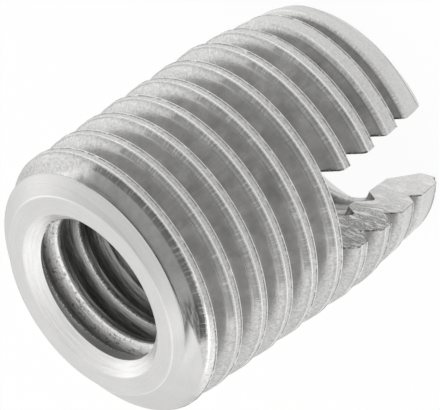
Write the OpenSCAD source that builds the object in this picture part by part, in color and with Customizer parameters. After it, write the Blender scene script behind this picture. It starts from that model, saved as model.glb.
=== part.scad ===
// Self-tapping threaded insert: a one-piece steel sleeve with a coarse cutting
// thread outside, a screw thread inside and a slot sawn across the tapered end.
// It stands on its slotted end. +Z points out of the front face, X runs along the slot.
// All sizes are in millimetres.

/* [Sleeve] */

// Length from the slotted end to the front face
body_len = 15.4; // [12:0.1:24]
// Diameter over the crests of the outer thread
body_d = 12; // [11.5:0.1:16]
// Length of the tapered stretch that starts the cut
taper_len = 4.3; // [2:0.1:6]
// How far the taper falls below the crests at its small end
taper_drop = 0.6; // [0.2:0.05:0.8]

/* [Outer thread] */

// Distance from one crest to the next
outer_pitch = 1.5; // [1.15:0.05:2]
// Depth of the groove, from crest to root
outer_depth = 0.85; // [0.4:0.05:1.05]
// Angle between the two flanks of the groove
outer_angle = 58; // [45:1:62]
// Share of the taper that the bottom of the groove follows
root_follow = 0.1; // [0:0.05:1]
// Hand of the outer thread: 1 right, -1 left
thread_hand = -1; // [-1:2:1]

/* [Screw thread inside] */

// Nominal diameter of the screw that the insert takes
screw_d = 8; // [6:0.5:8.5]
// Pitch of that screw, which sets how far the crests stand into the hole
screw_pitch = 1.25; // [0.75:0.05:1.5]

/* [Front face] */

// Outer diameter of the flat ring
ring_d = 9.3; // [8.8:0.1:10.4]
// Slope of the outer bevel, measured from the face
bevel_angle = 38; // [25:1:55]
// Diameter of the countersink at the face
mouth_d = 7.7; // [7.4:0.1:8.6]
// Full angle of the countersink
mouth_angle = 90; // [60:1:120]

/* [Slotted end] */

// Width of the slot
slot_w = 3.6; // [2:0.05:4.5]
// Depth of the slot, from the end
slot_depth = 6.35; // [3:0.05:9]
// Diameter of the countersink at the end
end_mouth_d = 8.6; // [7:0.1:9]
// Broken outer edge of the end
edge_break = 0.2; // [0.05:0.01:0.3]

/* [Hidden] */

body_r = body_d / 2;
taper_end_r = body_r - taper_drop;
ring_r = ring_d / 2;
mouth_r = mouth_d / 2;

// An internal screw thread leaves a hole smaller than the screw by this many pitches
minor_share = 1.0825;
hole_r = (screw_d - minor_share * screw_pitch) / 2;

bevel_len = (body_r - ring_r) * tan(bevel_angle);

// The hole's plain wall runs between the two countersinks; the one at the end slopes at 45 degrees
end_mouth_r = end_mouth_d / 2;
wall_bottom = end_mouth_r - hole_r;
wall_top = body_len - (mouth_r - hole_r) / tan(mouth_angle / 2);

round_facets = 96;   // facets of a turned surface
turn_facets = 40;    // steps of the groove in one turn
clear = 0.1;         // how far a cutting shape stands clear of what it cuts
root_flat = 0.06;    // width of the flat at the bottom of the groove

// Radius of the turned blank over its crests at height z
function blank_r(z) = body_r - taper_drop * max(0, 1 - max(z, 0) / taper_len);

// Radius of the bottom of the groove at height z
function root_r(z) = body_r - outer_depth - root_follow * (body_r - blank_r(z));

// Half the width of the groove at radius r, for a groove whose bottom is at radius r0
function groove_half(r, r0) = root_flat / 2 + (r - r0) * tan(outer_angle / 2);

// The groove's four corners at height z, as [radius, height from the middle].
// Where the taper falls below the groove's bottom, the corners pass over it and cut nothing.
function groove_section(z) =
    let (low = root_r(z), high = max(blank_r(z), low) + clear,
         w0 = groove_half(low, low), w1 = groove_half(high, low))
    [[low, -w0], [high, -w1], [high, w1], [low, w0]];

// The turned blank, with its hole
module blank() {
    rotate_extrude($fn = round_facets)
        polygon([
            [end_mouth_r, 0],
            [taper_end_r - edge_break, 0],
            [blank_r(edge_break), edge_break],
            [body_r, taper_len],
            [body_r, body_len - bevel_len],
            [ring_r, body_len],
            [mouth_r, body_len],
            [hole_r, wall_top],
            [hole_r, wall_bottom]
        ]);
}

// The outer thread's groove, which starts a turn past one end and stops a turn past the other
module outer_groove() {
    turns = ceil(body_len / outer_pitch) + 2;
    steps = turns * turn_facets;
    z_first = thread_hand > 0 ? -outer_pitch : (turns - 1) * outer_pitch;
    corners = 4;
    points = [
        for (i = [0 : steps])
            let (angle = 360 * i / turn_facets,
                 z = z_first + thread_hand * outer_pitch * i / turn_facets)
            for (c = groove_section(z))
                [c[0] * cos(angle), c[0] * sin(angle), z + c[1]]
    ];
    last = corners * steps;
    sides = [
        for (i = [0 : steps - 1])
            for (j = [0 : corners - 1])
                let (a = corners * i + j, b = corners * i + (j + 1) % corners)
                each [[a, b, b + corners], [a, b + corners, a + corners]]
    ];
    ends = [[0, 3, 2], [0, 2, 1], [last, last + 1, last + 2], [last, last + 2, last + 3]];
    polyhedron(points, concat(sides, ends));
}

// The saw cut across the tapered end
module slot() {
    translate([-body_r - clear, -slot_w / 2, -clear])
        cube([2 * (body_r + clear), slot_w, slot_depth + clear]);
}

module insert() {
    color([0.74, 0.74, 0.73])
        difference() {
            blank();
            outer_groove();
            slot();
        }
}

insert();
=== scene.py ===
"""Looks of a self-tapping threaded insert: a turned steel sleeve with a cutting thread
outside, a screw thread inside and a slot sawn across its tapered end."""

import math

import bmesh
import bpy
import numpy as np
from mathutils import Matrix, Vector


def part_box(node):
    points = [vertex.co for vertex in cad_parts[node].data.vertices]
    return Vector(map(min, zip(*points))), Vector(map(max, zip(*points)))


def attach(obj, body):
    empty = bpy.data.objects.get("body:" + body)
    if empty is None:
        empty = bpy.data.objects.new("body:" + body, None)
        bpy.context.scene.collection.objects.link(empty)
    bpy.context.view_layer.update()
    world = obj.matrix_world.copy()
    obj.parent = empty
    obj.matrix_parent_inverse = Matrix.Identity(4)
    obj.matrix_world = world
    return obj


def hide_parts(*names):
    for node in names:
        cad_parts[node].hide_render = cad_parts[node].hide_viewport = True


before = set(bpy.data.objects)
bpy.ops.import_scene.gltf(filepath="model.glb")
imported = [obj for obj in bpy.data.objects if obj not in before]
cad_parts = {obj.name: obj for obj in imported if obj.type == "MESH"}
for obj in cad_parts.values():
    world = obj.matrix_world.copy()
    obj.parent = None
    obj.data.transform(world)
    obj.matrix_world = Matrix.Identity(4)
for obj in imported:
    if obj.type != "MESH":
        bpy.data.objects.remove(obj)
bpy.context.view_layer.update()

MM = 0.001

# ---- sizes of the sleeve, in millimetres ----------------------------------------------

CREST_R, _, LENGTH = (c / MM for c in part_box("insert")[1])
HAND = -1                              # both threads climb left-handed
TAPER_LEN, TAPER_R = 4.3, CREST_R - 0.6
RING_R, BEVEL_SLOPE = 4.65, math.tan(math.radians(38))
HOLE_R = 3.3234                        # over the ridges of the inside thread
MOUTH_R, END_MOUTH_R = 3.85, 4.3       # the countersinks of the front and of the slotted end
BORE_LOW, BORE_TOP = END_MOUTH_R - HOLE_R, LENGTH - (MOUTH_R - HOLE_R)
SLOT_W, SLOT_DEPTH = 3.6, 6.35
EDGE_BREAK = 0.2                       # the chamfer round the slotted end

OUTER_PITCH, OUTER_START, OUTER_DEPTH = 1.5, 0.0, 0.85
OUTER_TAN, OUTER_FLAT = math.tan(math.radians(29)), 0.03   # flank, half the groove's bottom
ROOT_FOLLOW = 0.1                      # how much of the taper the groove's bottom follows
INNER_PITCH, INNER_START, INNER_DEPTH = 1.25, -0.12, 0.66
INNER_TAN, INNER_FLAT = math.tan(math.radians(30)), 0.06
RUN_OUT_START, RUN_OUT_LEN = 0.27, 0.5     # where the inside groove fades in above the end
RUN_OUT_PAST = -0.2                    # its bottom climbs past the wall, so none of it is left
TOP_GROOVE = 12                        # the turn of the inside groove that opens below the mouth

# Roundings, and the burr that the rolling leaves along the rear edge of a crest.
FRONT_ROUND, REAR_ROUND, RIDGE_ROUND = 0.24, 0.05, 0.1
END_ROUND, BEVEL_ROUND = 0.1, 0.12
FLOOR_LIFT, FLOOR_ROUND = 0.012, 0.05
BURR_HEIGHT, BURR_AT, BURR_HALF = 0.02, 0.035, 0.022
DITCH_SHARE, DITCH_AT, DITCH_HALF = 0.7, 0.095, 0.03

# ---- the grid of the walls ------------------------------------------------------------

COLUMNS = 240                          # of the grid round the sleeve
WALL_GAP, RING_GAP = 0.04, 0.05        # how far the walls stop from the faces
MOST_REACH, HALVINGS = 0.75, 30        # of a pitch, and the steps of the search within it
WELD, SLIVER = 2e-7, 1e-7              # metres

# Rows over one pitch: up a flank and down the next one in shares of its width, and over the
# crest in millimetres from its two edges, with a share of what is between them.
OUTER_ROWS = {
    "rise": (0, 0.12, 0.4, 0.7, 0.93), "land_first": (0, 0.02, 0.045, 0.07, 0.1, 0.14),
    "land_mid": (0.5,), "land_last": (0.2, 0.14, 0.09, 0.04, 0),
    "fall": (0.94, 0.87, 0.78, 0.66, 0.5, 0.3, 0.12)}
INNER_ROWS = {
    "rise": (0, 0.15, 0.5, 0.85), "land_first": (0, 0.05),
    "land_mid": (0.5,), "land_last": (0.05, 0), "fall": (0.85, 0.5, 0.15)}
# Rows over a face, from its outer edge to the hole: shares of its width and of its edge's height.
FACE_ROWS = ((0.0, 0.0), (0.03, 0.7), (0.08, 1.0), (0.3, 1.0),
             (0.7, 1.0), (0.92, 1.0), (0.97, 0.7), (1.0, 0.0))

SAW_LEN, SAW_BELOW = 16, 2             # wider than the sleeve, and reaching below its end
SHARP = math.radians(38)               # edges that turn more than this are not smoothed

# ---- directions and finishes ----------------------------------------------------------

SLOT_TURN = math.radians(34.5)         # from the slot's direction to the camera's side
near = Vector((math.cos(SLOT_TURN), math.sin(SLOT_TURN), 0))
side = Vector((math.sin(SLOT_TURN), -math.cos(SLOT_TURN), 0))

ROLLED, TURNED, TAPPED, SAWN = range(4)
STEEL_DARK, STEEL_WHITE = (0, 0, 0, 1), (1.0, 0.995, 0.985, 1)
# Greys, from 0 to 1 before the marks are added.
LATHE_GREY, RING_SHARE, BEVEL_SHARE = 0.75, 0.88, 0.76
CREST_GREY, GROOVE_GREY, SIDE_LIGHT_GREY, FIRST_GROOVE_GREY = 0.65, 0.54, 0.47, 0.74
RIDGE_GREY, HOLE_GREY, SLOT_GREY = 1.08, 0.36, 0.88
ROLLED_ROUGH, RING_ROUGH, HOLE_ROUGH, SLOT_ROUGH = 0.22, 0.36, 0.44, 0.45
# Depths of the relief, in millimetres.
ROLLED_RELIEF, RING_RELIEF, HOLE_RELIEF, SLOT_RELIEF = 0.010, 0.008, 0.024, 0.04
NOISE_ROUGH = 0.6


# ---- the threaded walls ---------------------------------------------------------------

def soft_min(a, b, k):
    """The lower of a and b, with the corner between them rounded over a width k."""
    h = np.clip(0.5 + 0.5 * (b - a) / k, 0, 1)
    return b + (a - b) * h - k * h * (1 - h)


def hump(along, at, half):
    """1 at a place along the axis, fading out smoothly over about half to either side."""
    return np.exp(-(((along - at) / half) ** 2))


class Wall:
    """One threaded wall of the sleeve: side is 1 outside and -1 in the hole. The radii of the
    blank and of the groove's bottom go by height. Heights above the groove are worked on as
    side times radius."""

    def __init__(self, side, pitch, start, flank_tan, root_half, blank, root):
        self.side, self.pitch, self.start = side, pitch, start
        self.flank_tan, self.root_half = flank_tan, root_half
        self.blank, self.root = blank, root

    def centre(self, k, angle):
        """Height of the middle of the groove's turn k."""
        return self.start + self.pitch * (k + HAND * angle / (2 * np.pi))

    def half_width(self, centre, way):
        """How far a groove reaches up (way 1) or down (-1) the axis before it runs out."""
        least, most = np.zeros_like(centre), np.full_like(centre, MOST_REACH * self.pitch)
        for _ in range(HALVINGS):
            middle = (least + most) / 2
            room = self.side * (self.blank(centre + way * middle) - self.root(centre))
            inside = self.root_half + room * self.flank_tan > middle
            least, most = np.where(inside, middle, least), np.where(inside, most, middle)
        return least

    def radius(self, angle, z, front_round, rear_round, burr=0.0):
        """Radius of the threaded wall at each height, with rounded crests and a burr."""
        along = z - self.centre(0, angle)
        along = (along + self.pitch / 2) % self.pitch - self.pitch / 2
        floor = self.side * self.root(z - along)
        flank = floor + np.maximum(np.abs(along) - self.root_half, 0) / self.flank_tan
        flank = -soft_min(-flank, -floor - FLOOR_LIFT, FLOOR_ROUND)
        skin = self.side * self.blank(z)
        surface = soft_min(flank, skin, np.where(along < 0, front_round, rear_round))
        if burr:
            edge = self.root_half + (skin - floor) * self.flank_tan
            past, rear = along - edge, along > 0
            surface = surface + burr * hump(past, BURR_AT, BURR_HALF) * rear
            surface = surface - DITCH_SHARE * burr * hump(past, DITCH_AT, DITCH_HALF) * rear
        return self.side * surface

    def rows(self, angle, z_low, z_top, rise, land_first, land_mid, land_last, fall):
        """Heights of the grid's rows in each column, and how many rows one pitch takes."""
        first = math.floor((z_low - self.start) / self.pitch) - 1
        last = math.ceil((z_top - self.start) / self.pitch) + 2
        rows = []
        for k in range(first, last):
            here, above = self.centre(k, angle), self.centre(k + 1, angle)
            up, down = self.half_width(here, 1), self.half_width(above, -1)
            rear, front = here + up, above - down
            rows += [here + share * up for share in rise]
            rows += [rear + step for step in land_first]
            rows += [rear + share * (front - rear) for share in land_mid]
            rows += [front - step for step in land_last]
            rows += [above - share * down for share in fall]
        heights = np.maximum.accumulate(np.array(rows), axis=0)
        return np.clip(heights, z_low, z_top), len(rows) // (last - first)


def outer_blank(z):
    """The turned outside: chamfer, taper, cylinder and bevel."""
    r = TAPER_R + (CREST_R - TAPER_R) * np.clip(z / TAPER_LEN, 0, 1)
    r = soft_min(r, TAPER_R - EDGE_BREAK + z, END_ROUND)
    return soft_min(r, RING_R + (LENGTH - z) / BEVEL_SLOPE, BEVEL_ROUND)


def outer_root(z):
    """The bottom of the outside groove, which dips a little in the taper."""
    taper = np.clip(1 - z / TAPER_LEN, 0, 1)
    return CREST_R - OUTER_DEPTH - ROOT_FOLLOW * (CREST_R - TAPER_R) * taper


def hole_blank(z):
    """The drilled hole with its two countersinks."""
    r = np.maximum(HOLE_R, END_MOUTH_R - z)
    return np.maximum(r, MOUTH_R - (LENGTH - z))


def hole_root(z):
    """The bottom of the inside groove, which runs out before it reaches either countersink."""
    room = (BORE_TOP - INNER_FLAT - z) / INNER_TAN
    run_out = np.minimum(room / INNER_DEPTH, (z - BORE_LOW - RUN_OUT_START) / RUN_OUT_LEN)
    return HOLE_R + INNER_DEPTH * np.clip(run_out, RUN_OUT_PAST, 1)


class Shell:
    """Collects the sleeve's points and faces, ring by ring, before they become a mesh."""

    def __init__(self):
        self.angle = (np.arange(COLUMNS) * 2 * np.pi / COLUMNS)[None, :]
        self.points, self.faces, self.finishes = [], [], []

    def add_rows(self, z, r):
        """Adds rows of points round the axis and gives their numbers, row by row."""
        ring = np.stack([r * np.cos(self.angle), r * np.sin(self.angle), z], axis=-1)
        first = len(self.points)
        self.points.extend(ring.reshape(-1, 3))
        return first + np.arange(z.size).reshape(z.shape)

    def skin(self, ids, finish, shift=0, flip=False):
        """Faces between the rows of ids. Past the last column a row goes on shift rows up."""
        rows, columns = ids.shape
        for j in range(rows - 1):
            for i in range(columns):
                if i + 1 < columns:
                    low, high = ids[j, i + 1], ids[j + 1, i + 1]
                else:
                    on = j + shift
                    if on < 0 or on + 1 >= rows:
                        continue
                    low, high = ids[on, 0], ids[on + 1, 0]
                quad = (ids[j, i], low, high, ids[j + 1, i])
                self.faces.append(quad[::-1] if flip else quad)
                self.finishes.append(finish)

    def outside(self):
        """The outer thread. Gives the radii of its lowest and top rows."""
        wall = Wall(1, OUTER_PITCH, OUTER_START, OUTER_TAN, OUTER_FLAT, outer_blank, outer_root)
        z, per_pitch = wall.rows(self.angle[0], WALL_GAP, LENGTH - RING_GAP, **OUTER_ROWS)
        r = wall.radius(self.angle, z, FRONT_ROUND, REAR_ROUND, BURR_HEIGHT)
        self.skin(self.add_rows(z, r), ROLLED, shift=HAND * per_pitch)
        return r[0], r[-1]

    def hole(self):
        """The inner thread and both countersinks. Gives the radii at the two faces."""
        wall = Wall(-1, INNER_PITCH, INNER_START, INNER_TAN, INNER_FLAT, hole_blank, hole_root)
        z, per_pitch = wall.rows(self.angle[0], BORE_LOW, BORE_TOP, **INNER_ROWS)
        bore = self.add_rows(z, wall.radius(self.angle, z, RIDGE_ROUND, RIDGE_ROUND))
        self.skin(bore, TAPPED, shift=HAND * per_pitch, flip=True)
        z_low, z_top = WALL_GAP, LENGTH - WALL_GAP
        low = np.repeat([[z_low], [(z_low + BORE_LOW) / 2]], COLUMNS, axis=1)
        high = np.repeat([[(z_top + BORE_TOP) / 2], [z_top]], COLUMNS, axis=1)
        low_ids = self.add_rows(low, hole_blank(low))
        high_ids = self.add_rows(high, hole_blank(high))
        self.skin(np.vstack([low_ids, bore[:1]]), TAPPED, flip=True)
        self.skin(np.vstack([bore[-1:], high_ids]), TAPPED, flip=True)
        return hole_blank(low)[0], hole_blank(high)[-1]

    def face(self, z_flat, z_outer, z_inner, r_outer, r_inner, up):
        """The front ring or the slotted end, from the outside to the hole."""
        edges = [z_outer if share < 0.5 else z_inner for share, _ in FACE_ROWS]
        z = np.array([z_flat + (edge - z_flat) * (1 - rise)
                      for edge, (_, rise) in zip(edges, FACE_ROWS)])
        r = np.array([r_outer + (r_inner - r_outer) * share for share, _ in FACE_ROWS])
        ids = self.add_rows(np.repeat(z[:, None], COLUMNS, axis=1), r)
        self.skin(ids, TURNED, flip=not up)

    def mesh(self, name):
        """The shell as one mesh, with its seams welded and without slivers."""
        mesh = bpy.data.meshes.new(name)
        points = [tuple(p * MM) for p in np.array(self.points)]
        mesh.from_pydata(points, [], [tuple(map(int, face)) for face in self.faces])
        mesh.polygons.foreach_set("material_index", self.finishes)
        bm = bmesh.new()
        bm.from_mesh(mesh)
        bmesh.ops.remove_doubles(bm, verts=bm.verts, dist=WELD)
        bmesh.ops.dissolve_degenerate(bm, edges=bm.edges, dist=SLIVER)
        bm.to_mesh(mesh)
        bm.free()
        return mesh


def build_sleeve():
    """The whole sleeve before the slot is sawn."""
    shell = Shell()
    outer_low, outer_top = shell.outside()
    inner_low, inner_top = shell.hole()
    shell.face(LENGTH, LENGTH - RING_GAP, LENGTH - WALL_GAP, outer_top, inner_top, True)
    shell.face(0.0, WALL_GAP, WALL_GAP, outer_low, inner_low, False)
    return shell.mesh("insert_steel")


def cut_slot(sleeve):
    """Saws the slot across the tapered end. The cut walls take the sawn finish."""
    bm = bmesh.new()
    bmesh.ops.create_cube(bm, size=1.0)
    size = Vector((SAW_LEN, SLOT_W, SLOT_DEPTH + SAW_BELOW)) * MM
    bmesh.ops.scale(bm, vec=size, verts=bm.verts)
    bmesh.ops.translate(bm, vec=Vector((0, 0, (SLOT_DEPTH - SAW_BELOW) / 2)) * MM, verts=bm.verts)
    blade = bpy.data.meshes.new("saw")
    bm.to_mesh(blade)
    bm.free()
    for finish in sleeve.data.materials:
        blade.materials.append(finish)
    blade.polygons.foreach_set("material_index", [SAWN] * len(blade.polygons))
    saw = bpy.data.objects.new("saw", blade)
    bpy.context.collection.objects.link(saw)
    cut = sleeve.modifiers.new("slot", "BOOLEAN")
    cut.operation, cut.object, cut.solver = "DIFFERENCE", saw, "MANIFOLD"
    sawn = sleeve.evaluated_get(bpy.context.evaluated_depsgraph_get())
    uncut, sleeve_mesh = sleeve.data, bpy.data.meshes.new_from_object(sawn)
    sleeve.modifiers.clear()
    sleeve.data = sleeve_mesh
    bpy.data.objects.remove(saw)
    for spare in (blade, uncut):
        bpy.data.meshes.remove(spare)


# ---- shader nodes ---------------------------------------------------------------------

class Value:
    """A shader socket that takes part in plain expressions: each operator adds a Math node."""

    def __init__(self, graph, socket):
        self.graph, self.socket = graph, socket

    def math(self, operation, *others):
        inputs = dict(enumerate((self, *others)))
        return self.graph.node("Math", {"operation": operation}, inputs)

    def __add__(self, other):
        return self.math("ADD", other)

    __radd__ = __add__

    def __sub__(self, other):
        return self.math("SUBTRACT", other)

    def __rsub__(self, other):
        return self * -1 + other

    def __mul__(self, other):
        return self.math("MULTIPLY", other)

    __rmul__ = __mul__

    def __truediv__(self, other):
        return self.math("DIVIDE", other)

    def at_least(self, other):
        return self.math("MAXIMUM", other)

    def at_most(self, other):
        return self.math("MINIMUM", other)

    def step(self, low, high):
        """0 below low and 1 above high, smooth between; the other way round if low > high."""
        ends = {"Value": self, "From Min": low, "From Max": high}
        if low > high:
            ends.update({"From Min": high, "From Max": low, "To Min": 1.0, "To Max": 0.0})
        return self.graph.node("MapRange", {"interpolation_type": "SMOOTHSTEP"}, ends)

    def band(self, middle, half, soft):
        """1 within half of the middle, falling to 0 over soft on either side."""
        return (self - middle).math("ABSOLUTE").step(half + soft, half)

    def swing(self, amount):
        """A noise about its middle, between about plus and minus half of the amount."""
        return (self - 0.5) * amount


def mixed(first, second, share):
    """The first number where share is 0, the second where it is 1."""
    return first + share * (second - first)


class Graph:
    """A node tree, with one method for any node."""

    def __init__(self, tree):
        self.tree = tree
        tree.nodes.clear()

    def node(self, kind, settings=(), values=(), output=0):
        node = self.tree.nodes.new("ShaderNode" + kind)
        for key, value in dict(settings).items():
            setattr(node, key, value)
        for key, value in dict(values).items():
            if isinstance(value, Value):
                self.tree.links.new(value.socket, node.inputs[key])
            else:
                node.inputs[key].default_value = value
        return Value(self, node.outputs[output]) if output is not None else None

    def vector(self, operation, first, second, output=0):
        return self.node("VectorMath", {"operation": operation}, {0: first, 1: second}, output)

    def reach(self, vector, direction):
        """How far a vector reaches along a direction."""
        return self.vector("DOT_PRODUCT", vector, tuple(direction), output="Value")

    def rays(self):
        """1 for rays from the camera, and 1 for rays that steel mirrors or glass lets through."""
        looked_at = self.node("LightPath", output="Is Camera Ray")
        mirrored = self.node("LightPath", output="Is Glossy Ray")
        return looked_at, mirrored.at_least(self.node("LightPath", output="Is Transmission Ray"))


# ---- finishes -------------------------------------------------------------------------

class Finish(Graph):
    """A material on the sleeve, with the places that its marks follow, in millimetres."""

    def __init__(self, name):
        self.material = bpy.data.materials.new(name)
        self.material.use_nodes = True
        super().__init__(self.material.node_tree)
        place = self.node("TexCoord", output="Object")
        self.place = self.node("VectorMath", {"operation": "SCALE"}, {0: place, "Scale": 1 / MM})
        self.x, self.y, self.z = (
            self.node("SeparateXYZ", (), {0: self.place}, output=axis) for axis in range(3))
        self.r = (self.x * self.x + self.y * self.y).math("SQRT")
        self.turn = self.y.math("ARCTAN2", self.x) / (2 * math.pi)

    def along(self, pitch, start):
        """How far up the helix's pitch a point lies, from the middle of the groove."""
        return ((self.z - start) / pitch - self.turn * HAND).math("FRACT") * pitch

    def outer_crest(self):
        """Distances from the crest's rear and front edges, both positive on the crest, and
        how far down the taper a point lies, from 0 to 1."""
        taper = (1 - self.z / TAPER_LEN).at_least(0.0)
        depth = OUTER_DEPTH - taper * ((CREST_R - TAPER_R) * (1 - ROOT_FOLLOW))
        half = depth * OUTER_TAN + OUTER_FLAT
        along = self.along(OUTER_PITCH, OUTER_START)
        return along - half, OUTER_PITCH - half - along, taper

    def spot(self, where, size):
        """1 at a place on the sleeve, falling to 0 at the ends of size."""
        off = self.vector("DIVIDE", self.vector("SUBTRACT", self.place, where), size)
        length = self.node("VectorMath", {"operation": "LENGTH"}, {0: off}, output="Value")
        return length.step(1.0, 0.35)

    def mottle(self, per_mm, detail=3.0, place=None):
        """A cloudy noise with about per_mm clouds in a millimetre."""
        return self.node("TexNoise", (), {
            "Vector": place or self.place, "Scale": per_mm, "Detail": detail,
            "Roughness": NOISE_ROUGH})

    def turned(self, per_turn, per_mm, detail=4.0):
        """Marks that run round the axis, as a lathe or a rolling die leaves them."""
        around = self.node("CombineXYZ", (), {
            0: self.x / self.r * per_turn, 1: self.y / self.r * per_turn, 2: self.z * per_mm})
        return self.node("TexNoise", {"noise_dimensions": "4D"}, {
            "Vector": around, "W": self.r * per_mm, "Scale": 1.0, "Detail": detail,
            "Roughness": NOISE_ROUGH})

    def lathe_tone(self, strength):
        """The grey of a bright turned face with marks of that strength, and their relief."""
        marks = self.turned(per_turn=2.5, per_mm=26.0)
        grain = self.mottle(per_mm=12.0)
        clouds = self.mottle(per_mm=0.9)
        tone = marks.swing(strength) + grain.swing(0.12) + clouds.swing(0.08) + LATHE_GREY
        return tone, marks + grain * 0.5

    def steel(self, tone, roughness, relief, depth):
        """Bare steel whose grey is tone; relief is in parts of depth millimetres."""
        grey = self.node("Mix", {"data_type": "RGBA"}, {0: tone, 6: STEEL_DARK, 7: STEEL_WHITE},
                         output=2)
        bump = self.node("Bump", (), {"Height": relief, "Distance": depth * MM, "Strength": 1.0},
                         output="Normal")
        shader = self.node("BsdfPrincipled", (), {
            "Base Color": grey, "Metallic": 1.0, "Roughness": roughness, "Normal": bump})
        self.node("OutputMaterial", (), {"Surface": shader}, output=None)
        return self.material


class RolledThread(Finish):
    """Granular crests between a painted highlight line and a burr, over darker, glossier grooves.
    """

    # Where the surface of a crest ends, in millimetres inside its edges.
    REAR_END, FRONT_END = (-0.03, 0.0), (0.04, 0.15)
    # Lines along the thread, in millimetres inside an edge: middle, half width and softness.
    # The first is a painted highlight, also glossier, and the second a painted shade under the
    # crest.
    BURNISHED, UNDER_CREST = (0.165, 0.014, 0.035), (-0.02, 0.065, 0.055)
    BURR, DITCH = (0.015, 0.018, 0.02), (0.075, 0.014, 0.02)
    BURNISHED_LIGHT, BURR_LIGHT, DITCH_DARK = 0.44, 0.42, 0.34
    # UNDER_DARK is the strength of the painted shade under the crest
    UNDER_DARK, TAPER_DARK = 0.50, 0.22
    FEATHER_ENDS, FEATHER_LIGHT = (-0.16, -0.02), 0.14
    # The painted side light starts this far towards the camera's sides, in parts of the radius,
    # and sooner near a crest.
    FROST_ENDS, CREST_FROST_ENDS, CREST_FROST = (0.87, 0.96), (-0.50, 0.02), 0.20
    # The painted shade over one half of the first groove: its ends in turns, and its share of
    # the usual grey.
    DARK_LAST, DARK_FIRST, DARK_SHARE = (0.285, 0.215), (-0.34, -0.20), 0.48
    # The first groove, in millimetres below the face: its lower end, and its upper edge, which
    # climbs over the bevel by so much in a turn.
    FIRST_ENDS, FIRST_TOP, FIRST_CLIMB = (1.6, 1.15), 0.52, 4.1
    SMEAR_AT, SMEAR_SIZE, SMEAR_DARK = (5.45, -0.1, 14.7), (0.9, 1.3, 0.6), 0.6
    # The torn edges beside the slot and above it, in millimetres from its walls.
    TORN_BESIDE, TORN_ABOVE, TORN_DARK = (0.09, 0.05), 0.1, 0.75

    def __init__(self):
        super().__init__("rolled thread")
        self.rear, self.front, self.taper = self.outer_crest()
        self.streak = self.turned(per_turn=5.0, per_mm=22.0)
        self.spikes = self.turned(per_turn=90.0, per_mm=1.5, detail=2.0)
        self.patch = self.mottle(per_mm=1.1)
        self.grain = self.mottle(per_mm=9.0, detail=2.0)
        ragged = self.front + self.spikes.swing(0.16) + self.taper * 0.12
        self.on_crest = self.rear.step(*self.REAR_END) * ragged.step(*self.FRONT_END)
        # across follows the camera's side, so the painted light below goes by where the camera
        # stands
        across = self.reach(self.place, side) / self.r
        self.sideways = (across.math("ABSOLUTE") + self.mottle(per_mm=2.5).swing(0.10)
                         + self.spikes.swing(0.05))
        by_crest = self.front.step(*self.CREST_FROST_ENDS) * self.CREST_FROST
        # painted light towards the camera's sides, standing in for the room's reflection there
        self.painted_side_light = (self.sideways + by_crest).step(*self.FROST_ENDS)
        # painted shade over one half of the first groove
        self.painted_shade_half = ((self.turn + self.patch.swing(0.10)).step(*self.DARK_LAST)
                          * (self.turn + self.patch.swing(0.08)).step(*self.DARK_FIRST))

    def crests(self):
        """The grey of the crests, and the painted highlight along their front edge, which is also
        glossier there and fades down the taper and towards the camera's sides."""
        line = self.front.band(*self.BURNISHED) * (1 - self.taper * 1.4).at_least(0.0)
        # the painted highlight fades towards the camera's sides
        line = line * (1 - self.sideways.step(0.60, 0.90) * 0.7)
        burr = self.rear.band(*self.BURR)
        ditch = self.rear.band(*self.DITCH) * self.mottle(per_mm=2.2).step(0.36, 0.5)
        grey = (CREST_GREY + self.grain.swing(0.65 - self.taper * 0.45)
                + self.streak.swing(0.16) + self.taper * 0.06)
        # painted highlight along the crest's front edge
        light = line * self.BURNISHED_LIGHT
        return grey + light + burr * self.BURR_LIGHT - ditch * self.DITCH_DARK, line

    def first_groove(self, grey):
        """The groove next to the ring is bright, with a painted shade over one side and a smear
        in it.
        """
        low, high = self.FIRST_ENDS
        first = self.z.step(LENGTH - low, LENGTH - high)
        smear = self.spot(self.SMEAR_AT, self.SMEAR_SIZE)
        smear = smear * self.turned(per_turn=7.0, per_mm=9.0).step(0.42, 0.56)
        # painted shade over one half of the first groove
        own = mixed(FIRST_GROOVE_GREY, grey * self.DARK_SHARE, self.painted_shade_half)
        return mixed(grey, own, first) * (1 - smear * self.SMEAR_DARK)

    def torn_at_slot(self):
        """1 where the saw tore the thread's edges."""
        far, close = self.TORN_BESIDE
        beside = self.y.math("ABSOLUTE").step(SLOT_W / 2 + far, SLOT_W / 2 + close)
        along_slot = beside * self.z.step(SLOT_DEPTH + self.TORN_ABOVE, SLOT_DEPTH)
        return along_slot * self.mottle(per_mm=7.0).step(0.40, 0.52)

    def grooves(self):
        """The grey of the grooves: cloudy, with a painted shade under the crest and feathered
        over its edge, with painted light towards the camera's sides, and torn at the slot."""
        grey = (GROOVE_GREY + self.patch.swing(0.36) + self.mottle(per_mm=4.0).swing(0.12)
                + self.streak.swing(0.06))
        grey = self.first_groove(grey)
        glossy = 1 - self.painted_side_light
        # painted shade under the crest's front edge, away from the camera's sides
        under = self.front.band(*self.UNDER_CREST) * (1 - self.taper) * glossy
        feather = self.spikes.step(0.50, 0.68) * self.front.step(*self.FEATHER_ENDS) * glossy
        grey = grey * (1 - under * self.UNDER_DARK) + feather * self.FEATHER_LIGHT
        grey = grey * (1 - self.taper * self.TAPER_DARK)
        # painted light: at the camera's sides a plain grey without the painted shade under the
        # crest
        grey = mixed(grey, SIDE_LIGHT_GREY + self.grain.swing(0.5), self.painted_side_light)
        return grey * (1 - self.torn_at_slot() * self.TORN_DARK)

    def bevel(self):
        """1 on the bevel, except where the painted shade of the first groove runs over it."""
        on_bevel = ((LENGTH - self.z) / BEVEL_SLOPE + RING_R - self.r).step(0.06, 0.02)
        top = (self.turn * self.FIRST_CLIMB).at_most(0.0) + (LENGTH - self.FIRST_TOP)
        groove = (1 - self.on_crest) * self.painted_shade_half * (top - self.z).step(-0.03, 0.05)
        return on_bevel * (1 - groove)

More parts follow.
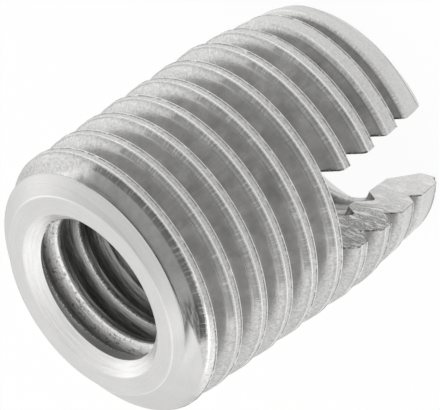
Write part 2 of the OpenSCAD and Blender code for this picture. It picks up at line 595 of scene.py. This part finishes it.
    def finish(self):
        """The material: crests over grooves, with the bevel's bright turned face on top."""
        crest, line = self.crests()
        bevel = self.bevel()
        bright, marks = self.lathe_tone(strength=0.10)
        tone = mixed(self.grooves(), crest, self.on_crest)
        tone = mixed(tone, bright * BEVEL_SHARE, bevel)
        matt = self.on_crest.at_least(self.painted_side_light)
        roughness = (ROLLED_ROUGH + matt * 0.12 - line * 0.10 + self.patch.swing(0.06)
                     + bevel * 0.10)
        relief = (self.streak * (0.4 + self.on_crest * 0.6)
                  + self.grain * (0.15 + self.on_crest * 0.65) + marks * 0.2)
        return self.steel(tone, roughness, relief, ROLLED_RELIEF)


def turned_face():
    """The ring and the slotted end: bright, with fine marks round the axis."""
    f = Finish("turned face")
    tone, marks = f.lathe_tone(strength=0.18)
    roughness = RING_ROUGH + f.mottle(per_mm=12.0).swing(0.1)
    return f.steel(tone * RING_SHARE, roughness, marks, RING_RELIEF)


class TappedHole(Finish):
    """Torn ridges, lit near the mouth, over dark grooves with cutting marks."""

    HALF_GROOVE = INNER_DEPTH * INNER_TAN + INNER_FLAT
    # The ridge's surface, in millimetres past the groove's edge and short of its next middle.
    RIDGE_FROM, RIDGE_TO = (0.19, 0.24), (0.04, 0.26)
    # Lines along it, in millimetres past the groove's edge: middle, half width and softness.
    # They are a painted highlight, a painted shine and a painted shade.
    BURNISHED, DULL, SHADED = (0.31, 0.03, 0.04), (0.40, 0.05, 0.06), (0.68, 0.12, 0.12)
    DULL_LIGHT, SHADED_DARK = 0.24, 0.12
    UPPER_TURNS = 11.3, 12.0               # the lines are seen only above these heights
    # How far the mouth's light comes in, in millimetres below the face, and the height that
    # the weaker light from the slotted end reaches.
    LIT_FROM_MOUTH, LIT_FROM_END, END_LIGHT = (2.65, 2.3), (6.5, 4.5), 0.5
    # The top of the end's countersink, and the shade under the front one's lip: how far below
    # the lip, half width and softness.
    END_CONE, LIP, LIP_DARK = 1.0, (0.10, 0.07, 0.12), 0.65

    def __init__(self):
        super().__init__("tapped hole")
        self.marks = self.turned(per_turn=3.0, per_mm=9.0, detail=6.0)
        self.torn = self.turned(per_turn=40.0, per_mm=9.0)
        self.up = self.along(INNER_PITCH, INNER_START)

    def line(self, middle, half, soft):
        """1 on a line along the ridge."""
        return self.up.band(self.HALF_GROOVE + middle, half, soft)

    def ridges(self):
        """1 on the ridges, with ragged edges."""
        low, high = (self.HALF_GROOVE + at for at in self.RIDGE_FROM)
        last, gone = (INNER_PITCH - at for at in self.RIDGE_TO)
        lower = (self.up + self.torn.swing(0.10)).step(low, high)
        return lower * (self.up + self.marks.swing(0.3)).step(last, gone)

    def thread(self):
        """The grey of the grooves and ridges, with a painted highlight, a painted shine and a
        painted shade along the upper turns.
        """
        low, high = self.LIT_FROM_MOUTH
        by_end = self.z.step(*self.LIT_FROM_END) * self.END_LIGHT
        lit = self.z.step(LENGTH - low, LENGTH - high).at_least(by_end)
        specks = self.turned(per_turn=24.0, per_mm=7.0, detail=2.0).step(0.32, 0.50) * 0.5 + 0.5
        dark = HOLE_GREY + self.marks.swing(0.85)
        light = (RIDGE_GREY + self.marks.swing(1.5) + self.torn.swing(0.6)) * specks
        upper = self.z.step(*self.UPPER_TURNS)
        # a painted highlight along the ridges, stronger where they are not lit
        highlight = self.line(*self.BURNISHED) * self.torn.step(0.40, 0.56) * upper
        # a painted shine along the ridges
        shine = self.line(*self.DULL) * self.torn * self.DULL_LIGHT
        shaded = self.line(*self.SHADED) * self.SHADED_DARK
        grey = mixed(dark, light, self.ridges() * (lit * 0.95 + 0.05))
        grey = grey + highlight * (1.7 - lit * 1.1)
        return grey + upper * (1 - lit) * (shine - shaded)

    def countersinks(self):
        """1 on the two countersinks, and the shade under the lip of the front one. Its edge
        drops where the top turn of the groove opens into it."""
        behind = (self.y * -1).math("ARCTAN2", self.x * -1) / (2 * math.pi) + 0.5
        turns = TOP_GROOVE - behind - behind.step(0.35, 0.0)
        edge = turns * INNER_PITCH + INNER_START + self.HALF_GROOVE
        front = (self.z - edge + self.torn.swing(0.9)).step(-0.01, 0.03)
        below, half, soft = self.LIP
        lip = self.z.band(edge - below, half, soft)
        return front.at_least((self.z - self.END_CONE).step(0.03, 0.0)), lip

    def finish(self):
        """The material: the thread, with the bright cones of the countersinks on top."""
        cones, lip = self.countersinks()
        bright, brushed = self.lathe_tone(strength=0.55)
        tone = mixed(self.thread() * (1 - lip * self.LIP_DARK), bright, cones)
        relief = (self.marks + self.torn * 0.5) * (1 - cones * 0.7) + brushed * 0.2
        return self.steel(tone, HOLE_ROUGH + self.marks.swing(0.3), relief, HOLE_RELIEF)


SCORES = ((0.44, 0.006, 0.022), (0.55, 0.006, 0.022), (0.5, 0.002, 0.02))   # levels of a noise
SCORE_DARK, TORN_RIM, RIM_DARK = 0.46, (0.07, 0.03), 0.35
SCORED_HEIGHTS = 2.2, 4.0              # between them the scores grow deep


def sawn_slot():
    """The walls that the saw left: lines along the cut, deeper towards its bottom."""
    f = Finish("sawn slot")
    wander = f.mottle(per_mm=0.8) * 0.5
    stroke = f.node("CombineXYZ", (), {0: f.x * 0.7, 1: f.y, 2: (f.z + wander) * 5.0})
    lines = f.mottle(per_mm=1.0, place=stroke)
    first, second, third = (lines.band(*score) for score in SCORES)
    scored = (first + second + third).at_most(1.0) * (f.z.step(*SCORED_HEIGHTS) * 0.85 + 0.15)
    # how close a point is to the threaded outline, where the edge is torn
    rear, front, taper = f.outer_crest()
    in_groove = (rear.at_most(front) * -1).at_least(0.0) / OUTER_TAN
    outside = CREST_R - taper * (CREST_R - TAPER_R) - in_groove
    rim = (outside - f.r + f.mottle(per_mm=6.0).swing(0.05)).step(*TORN_RIM)
    tone = (SLOT_GREY - scored * SCORE_DARK - rim * RIM_DARK + lines.swing(0.2)
            + f.mottle(per_mm=7.0).swing(0.22))
    relief = (1 - scored) * 0.5 + f.mottle(per_mm=14.0) * 0.25
    return f.steel(tone, SLOT_ROUGH, relief, SLOT_RELIEF)


# ---- the piece ------------------------------------------------------------------------

sleeve = bpy.data.objects.new("insert_steel", build_sleeve())
bpy.context.collection.objects.link(sleeve)
for finish in (RolledThread().finish(), turned_face(), TappedHole().finish(), sawn_slot()):
    sleeve.data.materials.append(finish)
cut_slot(sleeve)
sleeve.data.shade_smooth()
sleeve.data.set_sharp_from_angle(angle=SHARP)
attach(sleeve, "root")
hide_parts("insert")

# ---- camera ---------------------------------------------------------------------------

LOOK_DOWN = math.radians(57.4)         # angle between the sleeve's axis and the line of sight
LEAN = math.radians(35.0)              # how far the camera is turned about its line of sight
DISTANCE, VIEW_WIDTH = 0.7, 0.01811445     # metres to the sleeve, and across the view there
AIM = Vector((0, 0, 15.05 * MM))       # a point on the sleeve's axis
AIM_RIGHT, AIM_UP = -0.005119, -0.003589   # metres from the middle of the view to that point
SENSOR, CLIP_NEAR, CLIP_FAR = 36, 0.01, 10

down = Vector((0, 0, -1))
sin_look, cos_look = math.sin(LOOK_DOWN), math.cos(LOOK_DOWN)
sin_lean, cos_lean = math.sin(LEAN), math.cos(LEAN)
right = down * sin_look * cos_lean + near * cos_look * cos_lean + side * sin_lean
up = down * sin_look * sin_lean + near * cos_look * sin_lean - side * cos_lean
back = near * sin_look - down * cos_look
camera = bpy.data.cameras.new("camera")
camera.sensor_width = SENSOR
camera.lens = SENSOR * DISTANCE / VIEW_WIDTH
camera.clip_start, camera.clip_end = CLIP_NEAR, CLIP_FAR
eye = bpy.data.objects.new("camera", camera)
eye.matrix_world = Matrix((right, up, back)).transposed().to_4x4()
eye.location = AIM - right * AIM_RIGHT - up * AIM_UP + back * DISTANCE
bpy.context.collection.objects.link(eye)
bpy.context.scene.camera = eye

# ---- floor and light ------------------------------------------------------------------

FLOOR_HALF, FLOOR_DROP = 1.5, 0.02 * MM    # the drop keeps the sleeve's end off the floor
FLOOR_GREY, WHITE = (0.85, 0.85, 0.85, 1), (1, 1, 1, 1)
FLOOR_WHITE_SHARE = 0.95               # the rest is the plain floor, which keeps the shadow
# painted shade: mirrored, the floor's white dims towards the camera's side, for the sleeve's
# shadow
FLOOR_DIM, FLOOR_DIM_LEN = 0.30, 0.016     # mirrored, it dims by this over so many metres
ROOM_WHITE_SHARE = 0.2                 # how much of the room's white steel mirrors
ROOM_DIM, ROOM_BRIGHT = 0.5, 0.5       # light from the camera's side, and what the rear adds
REAR_WING, SIDE_WING = 0.8, 0.25       # what two brighter parts of the room add
BRIGHT_SIDE = -near * 0.8 + Vector((0, 0, 0.6))
LAMP_AT, LAMP_SIZE, LAMP_POWER = side * 0.45 - near * 0.1 + Vector((0, 0, 0.45)), 0.5, 0.12


def pale_floor():
    """White where it is looked at, white with a painted shade towards the camera's side where it
    is mirrored, and shadowed elsewhere.
    """
    material = bpy.data.materials.new("pale floor")
    material.use_nodes = True
    g = Graph(material.node_tree)
    looked_at, mirrored = g.rays()
    ahead = g.reach(g.node("TexCoord", output="Object"), near)
    # painted shade in the mirrored white, towards the camera's side
    dim = (1 - looked_at) * ahead.step(0.0, FLOOR_DIM_LEN) * FLOOR_DIM
    plain = g.node("BsdfDiffuse", (), {"Color": FLOOR_GREY})
    white = g.node("Emission", (), {"Color": 1 - dim, "Strength": 1.0})
    share = looked_at.at_least(mirrored) * FLOOR_WHITE_SHARE
    mix = g.node("MixShader", (), {0: share, 1: plain, 2: white})
    g.node("OutputMaterial", (), {"Surface": mix}, output=None)
    return material


def lay_floor():
    """A flat sheet just under the slotted end."""
    mesh = bpy.data.meshes.new("floor")
    bm = bmesh.new()
    bmesh.ops.create_grid(bm, x_segments=1, y_segments=1, size=FLOOR_HALF)
    bm.to_mesh(mesh)
    bm.free()
    mesh.materials.append(pale_floor())
    floor = bpy.data.objects.new("floor", mesh)
    floor.location = (0, 0, -FLOOR_DROP)
    bpy.context.collection.objects.link(floor)
    return floor


def studio_light(bright_side):
    """A pale room, brightest behind and above the sleeve and dimmer on the camera's side. The
    camera sees it white. The steps are in cosines of the angle to each direction."""
    world = bpy.data.worlds.new("studio")
    bpy.context.scene.world = world
    world.use_nodes = True
    g = Graph(world.node_tree)
    way = g.node("TexCoord", output="Generated")
    across, behind = g.reach(way, side), g.reach(way, -near)
    rear_wing = (across * -1).step(0.3, 0.6) * behind.step(0.2, 0.5) * REAR_WING
    wings = rear_wing + across.step(0.05, 0.5) * SIDE_WING
    strength = ROOM_DIM + g.reach(way, bright_side).step(-0.7, 0.35) * ROOM_BRIGHT + wings
    looked_at, mirrored = g.rays()
    strength = mixed(strength, 1, looked_at + mirrored * ROOM_WHITE_SHARE)
    light = g.node("Background", (), {"Color": WHITE, "Strength": strength})
    g.node("OutputWorld", (), {"Surface": light}, output=None)


def softbox(name, where, size, power):
    """A square lamp that points at the sleeve."""
    lamp = bpy.data.lights.new(name, "AREA")
    lamp.shape, lamp.size, lamp.energy = "SQUARE", size, power
    holder = bpy.data.objects.new(name, lamp)
    holder.location = where
    holder.rotation_mode = "QUATERNION"
    holder.rotation_quaternion = (AIM - where).to_track_quat("-Z", "Y")
    bpy.context.collection.objects.link(holder)


floor = lay_floor()
studio_light(BRIGHT_SIDE.normalized())
softbox("side softbox", LAMP_AT, LAMP_SIZE, LAMP_POWER)
bpy.context.scene.view_settings.view_transform = "Standard"
